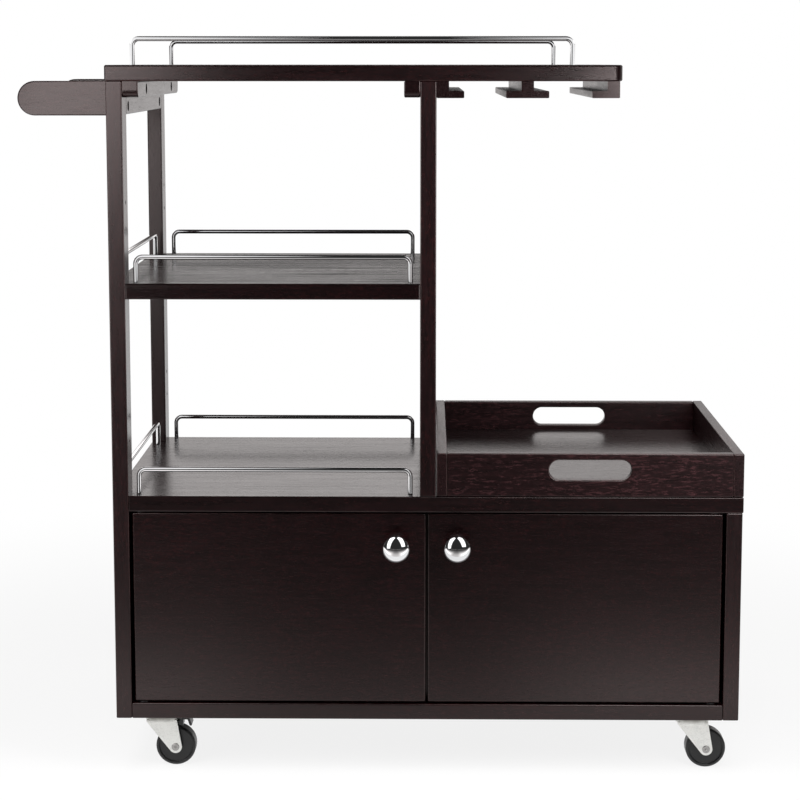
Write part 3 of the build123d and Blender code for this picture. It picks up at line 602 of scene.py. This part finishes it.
def dusty_tread(plastic):
    """Black plastic of a wheel, dusty and scuffed round its tread."""
    def shader(tree):
        across = tree.axis("Generated", "X") - 0.5
        up = tree.axis("Generated", "Z") - 0.5
        radius = (across ** 2 + up ** 2) ** 0.5
        at = tree.place(EVEN)
        scuffs = tree.noise(at, scale=260.0, detail=4.0, roughness=0.7)
        cloud = tree.noise(at, scale=90.0)
        tread = tree.ramp(radius, low=0.47, high=0.499) * tree.ramp(scuffs, low=0.4, high=0.7)
        dusty = tread + tree.ramp(cloud, low=0.5, high=0.8) * TREAD_CLOUD
        base = tree.mix(dusty * TREAD_DUST, opaque(plastic.black), opaque(plastic.dust))
        rough = plastic.black_roughness + dusty * TREAD_MATTE
        return {"Base Color": base, "Roughness": rough}, scuffs, PLASTIC_DEPTH
    return paint("dusty_tread", shader)


def bare_beech(plastic):
    """Unfinished beech with short flecks."""
    def shader(tree):
        flecks = tree.noise(tree.place(BEECH_PLACE), scale=220.0)
        dark = opaque(plastic.beech, BEECH_TONE)
        base = tree.mix(tree.ramp(flecks, low=0.5, high=0.7), opaque(plastic.beech), dark)
        rough = BEECH_ROUGHNESS + flecks * BEECH_MATTE
        return {"Base Color": base, "Roughness": rough}, flecks, BEECH_DEPTH
    return paint("bare_beech", shader)


def dress(node, material):
    """Gives a node of the frame one material."""
    mesh = NODES[node].data
    mesh.materials.clear()
    mesh.materials.append(material)


def rounded(corners):
    """The points of a line through (place, radius) corners, with each inner corner rounded."""
    places = [Vector(place) for place, _ in corners]
    line = [places[0]]
    for before, corner, after, (_, radius) in zip(places, places[1:], places[2:], corners[1:]):
        if radius == 0:
            line.append(corner)
            continue
        back = (before - corner).normalized()
        ahead = (after - corner).normalized()
        half = back.angle(ahead) / 2
        middle = corner + (back + ahead).normalized() * (radius / math.sin(half))
        first = corner + back * (radius / math.tan(half)) - middle
        last = corner + ahead * (radius / math.tan(half)) - middle
        line += [middle + arm for arm in swung(first, last)]
    line.append(places[-1])
    return line


def swung(first, last):
    """Arms of one length that swing from the first to the last."""
    sweep = first.angle(last)
    arms = []
    for step in range(ARC_STEPS + 1):
        turn = sweep * step / ARC_STEPS
        arms.append((first * math.sin(sweep - turn) + last * math.sin(turn)) / math.sin(sweep))
    return arms


def skin(shape, rings):
    """Joins each ring of points to the next; a ring of one point closes the end."""
    rows = [[shape.verts.new(point) for point in ring] for ring in rings]
    for first, second in zip(rows, rows[1:]):
        steps = max(len(first), len(second))
        for step in range(steps):
            following = (step + 1) % steps
            corners = [first[step % len(first)], first[following % len(first)]]
            corners += [second[following % len(second)], second[step % len(second)]]
            shape.faces.new(list(dict.fromkeys(corners)))


def mesh_piece(name, shape, node, materials):
    """Turns a bmesh into a smooth piece that stands for a node and rides where the node rides."""
    bmesh.ops.recalc_face_normals(shape, faces=shape.faces)
    mesh = bpy.data.meshes.new(name)
    shape.to_mesh(mesh)
    shape.free()
    for face in mesh.polygons:
        face.use_smooth = True
    mesh.set_sharp_from_angle(angle=SHARP_ANGLE)
    for material in materials:
        mesh.materials.append(material)
    piece = bpy.data.objects.new(name, mesh)
    bpy.context.scene.collection.objects.link(piece)
    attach(piece, NODE_BODY[node])
    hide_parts(node)
    return piece


def wire_rail(shape, rail, start, end, foot, top):
    """Adds a wire with two legs, bent over between two places on a board."""
    line = rounded([
        ((*start, foot), 0), ((*start, top), rail.bend),
        ((*end, top), rail.bend), ((*end, foot), 0),
    ])
    side = Vector((*end, 0)) - Vector((*start, 0))
    side = side.cross(Vector((0, 0, 1))).normalized()
    turns = [2 * math.pi * step / WIRE_STEPS for step in range(WIRE_STEPS)]
    rings = [[line[0]]]
    for at, point in enumerate(line):
        run = line[min(at + 1, len(line) - 1)] - line[max(at - 1, 0)]
        out = side.cross(run).normalized()
        rings.append([point + (out * math.cos(a) + side * math.sin(a)) * rail.wire for a in turns])
    rings.append([line[-1]])
    skin(shape, rings)


def knob_profile(knob, reach, rim_radius, door):
    """Radius against distance from the door: the screw's head, its shank, the neck and the dome."""
    rim = reach - knob.dome
    cove_end = rim - knob.rim
    cove = rim_radius - knob.neck
    dome_radius = (rim_radius ** 2 + knob.dome ** 2) / (2 * knob.dome)
    head = -door - SCREW_HEAD_HEIGHT
    corners = [
        ((0, head), 0), ((knob.screw_head, head), SCREW_HEAD_ROUND), ((knob.screw_head, -door), 0),
        ((knob.screw, -door), 0), ((knob.screw, 0), 0), ((knob.base, 0), 0),
        ((knob.base, knob.base_height), KNOB_ROUND), ((knob.neck, knob.base_height), 0),
    ]
    middle = Vector((rim_radius, cove_end - cove))
    corners += [(middle + arm, 0) for arm in swung(Vector((-cove, 0)), Vector((0, cove)))]
    corners[-1] = (corners[-1][0], KNOB_ROUND)
    center = Vector((0, reach - dome_radius))
    dome = swung(Vector((rim_radius, rim)) - center, Vector((0, dome_radius)))
    corners += [(center + arm, 0) for arm in dome]
    corners[-len(dome)] = (corners[-len(dome)][0], KNOB_ROUND)
    return rounded([((radius, distance, 0), bend) for (radius, distance), bend in corners])


class CART_OT_finish_boards(Operator):
    """Stains and lacquers the boards"""

    bl_idname = "cart.finish_boards"
    bl_label = "Finish Boards"

    def execute(self, context):
        wood = context.scene.bar_cart.wood
        for (grain, flat), nodes in FRAME_BOARDS.items():
            finish = espresso(
                "espresso_" + grain + flat, wood, grain, flat, wood.warm, wood.fleck,
                band_matte=wood.band_matte if flat == "Z" else 0.0,
            )
            for node in nodes:
                dress(node, finish)
        for (grain, flat), nodes in TRAY_BOARDS.items():
            finish = espresso(
                "tray_espresso_" + grain + flat, wood, grain, flat, wood.tray_fleck_glint, wood.tray_fleck,
                lift=wood.tray_lift, matte=wood.tray_matte,
            )
            for node in nodes:
                dress(node, finish)
        finish = espresso(
            "shelf_espresso", wood, "X", "Z", wood.warm, wood.fleck,
            matte=-wood.shelf_polish, band_matte=wood.shelf_band_matte,
        )
        dress("middle_shelf", finish)
        return {"FINISHED"}


class CART_OT_finish_hardware(Operator):
    """Plates the bolts, screws, pins and casters, and colours the plastic and the dowels"""

    bl_idname = "cart.finish_hardware"
    bl_label = "Finish Hardware"

    def execute(self, context):
        cart = context.scene.bar_cart
        metal = cart.metal
        zinc = plated("zinc_plate", metal.zinc, metal.zinc_roughness)
        steel = plated("rivet_steel", metal.steel, metal.zinc_roughness)
        fork_zinc = plated("fork_zinc", metal.zinc, metal.zinc_roughness, metal.grease_and_shade)
        black = black_plastic(cart.plastic)
        tread = dusty_tread(cart.plastic)
        for node in PLATED:
            dress(node, zinc)
        for node in MOULDED:
            dress(node, black)
        for place in CASTERS:
            dress("caster_fork_" + place, fork_zinc)
            dress("caster_axle_" + place, steel)
            dress("caster_wheel_" + place, tread)
        for place in BRAKED:
            dress("brake_lever_" + place, black)
        dress("dowel_pins", bare_beech(cart.plastic))
        return {"FINISHED"}


class CART_OT_bend_rails(Operator):
    """Bends the wires of the guard rails"""

    bl_idname = "cart.bend_rails"
    bl_label = "Bend Rails"

    def execute(self, context):
        cart = context.scene.bar_cart
        rail = cart.rail
        chrome = polished_chrome(cart.metal)
        for node in RAILS:
            low, high = (Vector(corner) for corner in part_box(node))
            x0, x1 = low.x + rail.wire, high.x - rail.wire
            y0, y1 = low.y + rail.wire, high.y - rail.wire
            if node == "top_rails":
                runs = [((x0, y), (x1, y)) for y in (y0, y1)]
            else:
                runs = [((x0 + rail.front_gap, y), (x1 - rail.front_gap, y)) for y in (y0, y1)]
                runs += [((x, y0 + rail.side_gap), (x, y1 - rail.side_gap)) for x in (x0, x1)]
            shape = bmesh.new()
            for start, end in runs:
                wire_rail(shape, rail, start, end, low.z, high.z - rail.wire)
            mesh_piece(node + "_wire", shape, node, [chrome])
        return {"FINISHED"}


class CART_OT_turn_knobs(Operator):
    """Turns the knobs of the doors"""

    bl_idname = "cart.turn_knobs"
    bl_label = "Turn Knobs"

    def execute(self, context):
        cart = context.scene.bar_cart
        chrome = polished_chrome(cart.metal)
        zinc = plated("screw_zinc", cart.metal.zinc, cart.metal.zinc_roughness)
        turns = [2 * math.pi * step / TURNED_STEPS for step in range(TURNED_STEPS)]
        for side in DOORS:
            node = side + "_knob"
            low, high = (Vector(corner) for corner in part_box(node))
            door_low, door_high = (Vector(corner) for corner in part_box(side + "_door"))
            x, z = (low.x + high.x) / 2, (low.z + high.z) / 2
            profile = knob_profile(
                cart.knob, door_low.y - low.y, (high.x - low.x) / 2, door_high.y - door_low.y
            )
            rings = []
            for point in profile:
                y = door_low.y - point.y
                ring = [(x + point.x * math.cos(a), y, z + point.x * math.sin(a)) for a in turns]
                rings.append(ring if point.x > 0 else [(x, y, z)])
            shape = bmesh.new()
            skin(shape, rings)
            piece = mesh_piece(node + "_turned", shape, node, [chrome, zinc])
            for face in piece.data.polygons:
                face.material_index = int(face.center.y > door_low.y + cart.knob.screw)
        return {"FINISHED"}


def studio_world(stage):
    """White to the camera; else a pale backdrop behind the cart and a dim studio before it."""
    world = bpy.data.worlds.new("studio")
    bpy.context.scene.world = world
    tree = NodeTree(world)
    back = tree.axis("Generated", "Y")
    up = tree.axis("Generated", "Z")
    seen = tree.node("ShaderNodeLightPath", None, None, "Is Camera Ray")
    paper = tree.node("ShaderNodeValToRGB", {"stops": BACKDROP}, {"Fac": up}, "Color")
    paper = tree.mix(1.0, paper, opaque(stage.backdrop), "MULTIPLY")
    around = tree.mix(tree.ramp(back, *BACKDROP_SPAN), opaque(stage.studio), paper)
    shown = tree.mix(seen, around, WHITE)
    tree.close("ShaderNodeOutputWorld", tree.node("ShaderNodeBackground", None, {"Color": shown}))


def pale_floor(stage):
    """White paper that keeps the cart's shadow, and the studio floor that the gloss shows."""
    material = bpy.data.materials.new("pale_floor")
    tree = NodeTree(material)
    seen = tree.node("ShaderNodeLightPath", None, None, "Is Camera Ray")
    mirrored = tree.node("ShaderNodeLightPath", None, None, "Is Glossy Ray")
    across = tree.axis("Object", "X")
    depth = tree.axis("Object", "Y")
    far = tree.ramp((across ** 2 + depth ** 2) ** 0.5, *VEIL_SPAN)
    reach = (depth + FLOOR_FAR) * (1 / (FLOOR_FAR - FLOOR_NEAR))
    before = tree.node("ShaderNodeValToRGB", {"stops": FLOOR}, {"Fac": reach}, "Color")
    before = tree.mix(1.0, before, opaque(stage.backdrop), "MULTIPLY")
    flanks = 1 + tree.ramp(abs(across), *FLANK_SPAN) * reach ** 2 * stage.flank
    lit = {0: before, "Scale": flanks}
    before = tree.node("ShaderNodeVectorMath", {"operation": "SCALE"}, lit)
    on_paper = tree.ramp(depth, -stage.paper - PAPER_EDGE, -stage.paper)
    shown = tree.mix(seen, tree.mix(on_paper, before, WHITE), WHITE)
    paper = tree.node("ShaderNodeBsdfDiffuse", None, {"Color": opaque(stage.floor_color)})
    glow = tree.node("ShaderNodeEmission", None, {"Color": shown})
    amount = seen * (stage.veil + far * (1 - stage.veil)) + mirrored
    both = tree.node("ShaderNodeMixShader", None, {0: amount, 1: paper, 2: glow})
    tree.close("ShaderNodeOutputMaterial", both)
    return material


def lay_floor(stage):
    """Adds the floor that the cart stands on."""
    half = stage.floor
    corners = [(-half, -half, 0), (half, -half, 0), (half, half, 0), (-half, half, 0)]
    mesh = bpy.data.meshes.new("floor")
    mesh.from_pydata(corners, [], [(0, 1, 2, 3)])
    mesh.materials.append(pale_floor(stage))
    floor = bpy.data.objects.new("floor", mesh)
    bpy.context.scene.collection.objects.link(floor)


def area_light(name, corner, along, across, radiance):
    """A soft rectangular light on a corner and two sides, facing the middle of the cart."""
    along, across = Vector(along), Vector(across)
    middle = Vector(corner) + (along + across) / 2
    away = along.cross(across).normalized()
    if away.dot(MIDDLE - middle) > 0:
        along, across = across, along
        away.negate()
    lamp = bpy.data.lights.new(name, "AREA")
    lamp.shape = "RECTANGLE"
    lamp.size = along.length
    lamp.size_y = across.length
    lamp.energy = radiance * math.pi * lamp.size * lamp.size_y
    holder = bpy.data.objects.new(name, lamp)
    turned = Matrix((along.normalized(), across.normalized(), away)).transposed()
    holder.matrix_world = Matrix.LocRotScale(middle, turned.to_quaternion(), None)
    holder.visible_camera = False
    bpy.context.scene.collection.objects.link(holder)
    return holder


def aim_light(holder, names, state):
    """Keeps a light off some of the pieces, or on them alone, as a flag before the light would."""
    flag = bpy.data.collections.new(holder.name + "_flag")
    for name in names:
        flag.objects.link(bpy.data.objects[name])
    for member in flag.collection_objects:
        member.light_linking.link_state = state
    holder.light_linking.receiver_collection = flag


def board_names(nodes):
    """The names of the objects that show these nodes."""
    return [NODES[node].name for node in nodes]


def bank_lines(side):
    """The foot, the top and the width of the strip bank at one side."""
    return Vector(BANK_FOOT[side]), Vector(BANK_TOP[side]), Vector(BANK_WIDTH[side])


def at_height(foot, top, height):
    """The place at a height on the line of a bank."""
    return foot.lerp(top, (height - foot.z) / (top.z - foot.z))


def strip_bank(stage, side, radiance):
    """A leaning strip bank before the cart, in parts for the wood, the wires and the knobs."""
    foot, top, width = bank_lines(side)
    places = [at_height(foot, top, height) for height in (foot.z, *BANK_SPLITS, top.z)]
    for step, (low, high) in enumerate(zip(places, places[1:])):
        bank = area_light(f"{side}_bank_{step}", low, high - low, width, radiance)
        off = board_names(BANK_OFF[side] + BANK_PART_OFF[side][step])
        aim_light(bank, off + WIRES + KNOBS, "EXCLUDE")

    low = at_height(foot, top, WIRE_BANK_FOOT)
    inner, outer = (width * end for end in WIRE_BANK_SPAN)
    bank = area_light(f"{side}_wire_bank", low + inner, top - low, outer - inner, stage.wire_bank)
    aim_light(bank, WIRES, "INCLUDE")

    rise = (top - foot) * KNOB_BANK_REACH
    bank = area_light(f"{side}_knob_bank", foot, rise, width, stage.knob_bank)
    aim_light(bank, KNOBS, "INCLUDE")


def top_bank(stage):
    """The slice of the right bank that the end of the top board shows."""
    foot, top, width = bank_lines("right")
    rise = at_height(foot, top, TOP_BANK_HEIGHT) - foot
    bank = area_light("right_top_bank", foot, rise, width * TOP_BANK_SHARE, stage.top_bank)
    aim_light(bank, board_names(["top_board"]), "INCLUDE")


def fill_lights(stage):
    """Soft light from above, on the flat boards alone, and along the arris of the cabinet top."""
    fill = area_light("top_fill", *FILLS["top_fill"], stage.fill)
    edge = area_light("edge_fill", *FILLS["edge_fill"], stage.edge_fill)
    sheen = area_light("top_sheen", *FILLS["top_sheen"], stage.sheen)
    arris = area_light("arris_bank", *FILLS["arris_bank"], stage.arris)
    aim_light(edge, board_names(FLAT_BOARDS), "INCLUDE")
    aim_light(sheen, board_names(FLAT_BOARDS), "INCLUDE")
    aim_light(arris, board_names(["cabinet_top"]), "INCLUDE")
    fill.visible_glossy = False
    edge.visible_glossy = False


def set_camera(stage):
    """Adds the camera and looks through it."""
    lens = bpy.data.cameras.new("camera")
    lens.sensor_width = SENSOR_WIDTH
    lens.lens = stage.lens
    lens.shift_y = stage.shift
    lens.clip_end = VIEW_END
    camera = bpy.data.objects.new("camera", lens)
    camera.location = stage.camera
    camera.rotation_euler = (math.pi / 2 - stage.pitch, 0.0, stage.yaw)
    bpy.context.scene.collection.objects.link(camera)
    bpy.context.scene.camera = camera


class CART_OT_stage(Operator):
    """Sets the floor, the lights and the camera"""

    bl_idname = "cart.stage"
    bl_label = "Set Stage"

    def execute(self, context):
        stage = context.scene.bar_cart.stage
        context.scene.view_settings.view_transform = "Standard"
        studio_world(stage)
        lay_floor(stage)
        strip_bank(stage, "left", stage.left_bank)
        strip_bank(stage, "right", stage.right_bank)
        top_bank(stage)
        fill_lights(stage)
        set_camera(stage)
        return {"FINISHED"}


class CART_PT_sidebar(Panel):
    """Lists the steps of the cart's finish"""

    bl_label = "Bar Cart"
    bl_idname = "CART_PT_sidebar"
    bl_space_type = "VIEW_3D"
    bl_region_type = "UI"
    bl_category = "Bar Cart"

    def draw(self, context):
        for step in STEPS:
            self.layout.operator(step.bl_idname)


STEPS = (
    CART_OT_finish_boards, CART_OT_finish_hardware, CART_OT_bend_rails, CART_OT_turn_knobs,
    CART_OT_stage,
)
CLASSES = (
    WoodSettings, MetalSettings, PlasticSettings, RailSettings, KnobSettings, StageSettings,
    CartSettings, *STEPS, CART_PT_sidebar,
)


def register():
    """Adds the settings, the steps and the sidebar to Blender."""
    for kind in CLASSES:
        bpy.utils.register_class(kind)
    bpy.types.Scene.bar_cart = PointerProperty(type=CartSettings)


def unregister():
    """Takes them out again."""
    del bpy.types.Scene.bar_cart
    for kind in reversed(CLASSES):
        bpy.utils.unregister_class(kind)


def main():
    """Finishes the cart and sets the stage."""
    register()
    bpy.ops.cart.finish_boards()
    bpy.ops.cart.finish_hardware()
    bpy.ops.cart.bend_rails()
    bpy.ops.cart.turn_knobs()
    bpy.ops.cart.stage()


if __name__ == "__main__":
    main()
